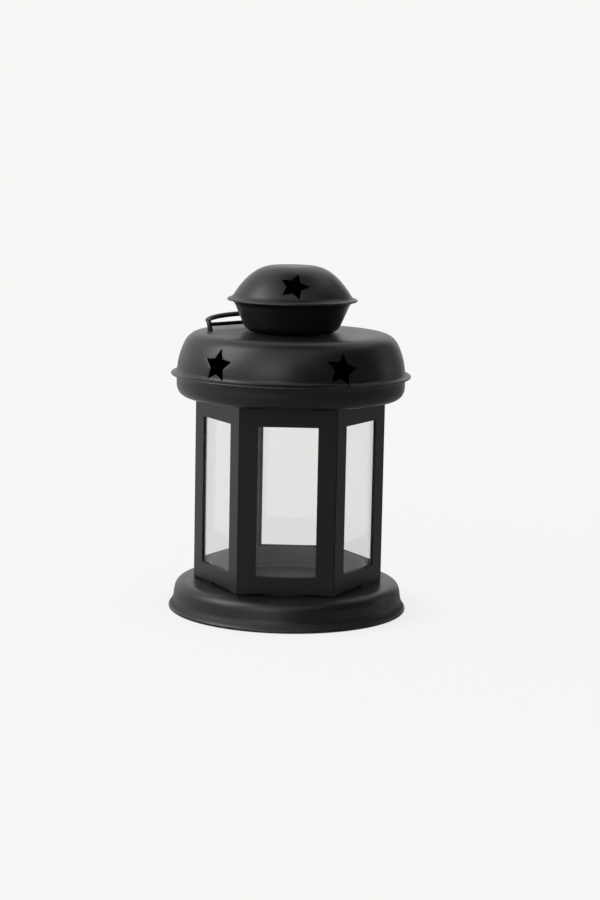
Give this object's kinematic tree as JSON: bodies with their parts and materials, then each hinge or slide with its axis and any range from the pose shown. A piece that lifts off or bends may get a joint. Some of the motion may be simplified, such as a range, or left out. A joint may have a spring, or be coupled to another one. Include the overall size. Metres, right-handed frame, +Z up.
{
  "type": "candle lantern",
  "caption": "Hexagonal candle lantern in black painted sheet steel with glazed sides, a lift-off base, a domed roof with star-shaped vents, a vented cap and a swinging wire handle.",
  "frame": {"origin": "centre of the foot's underside, on the surface the lantern stands on", "axes": "+Z up through the cap; -Y out of the front window; +X to the viewer's right"},
  "size_m": [0.1452, 0.1452, 0.2095],
  "materials": {
    "black_paint": "satin",
    "clear_glass": "clear"
  },
  "bodies": {
    "base": {"base_shell": "black_paint", "base_collar": "black_paint"},
    "upper": {"roof_pan": "black_paint", "roof_dome": "black_paint", "neck_cup": "black_paint", "cap_dome": "black_paint", "side_panel_1": "black_paint", "side_panel_2": "black_paint", "side_panel_3": "black_paint", "side_panel_4": "black_paint", "side_panel_5": "black_paint", "side_panel_6": "black_paint", "corner_keeper_1": "black_paint", "corner_keeper_2": "black_paint", "corner_keeper_3": "black_paint", "corner_keeper_4": "black_paint", "corner_keeper_5": "black_paint", "corner_keeper_6": "black_paint", "glass_pane_1": "clear_glass", "glass_pane_2": "clear_glass", "glass_pane_3": "clear_glass", "glass_pane_4": "clear_glass", "glass_pane_5": "clear_glass", "glass_pane_6": "clear_glass"},
    "handle": {"handle_loop": "black_paint"}
  },
  "joints": [
    {"name": "upper_lift", "type": "slide", "parent": "base", "child": "upper", "axis": [0, 0, 1], "range_m": [0, 0.12]},
    {"name": "handle_swing", "type": "hinge", "parent": "upper", "child": "handle", "pos_m": [-0.02458, 0.02458, 0.1691], "axis": [0.7071, 0.7071, 0], "range_deg": [0, 55]}
  ]
}
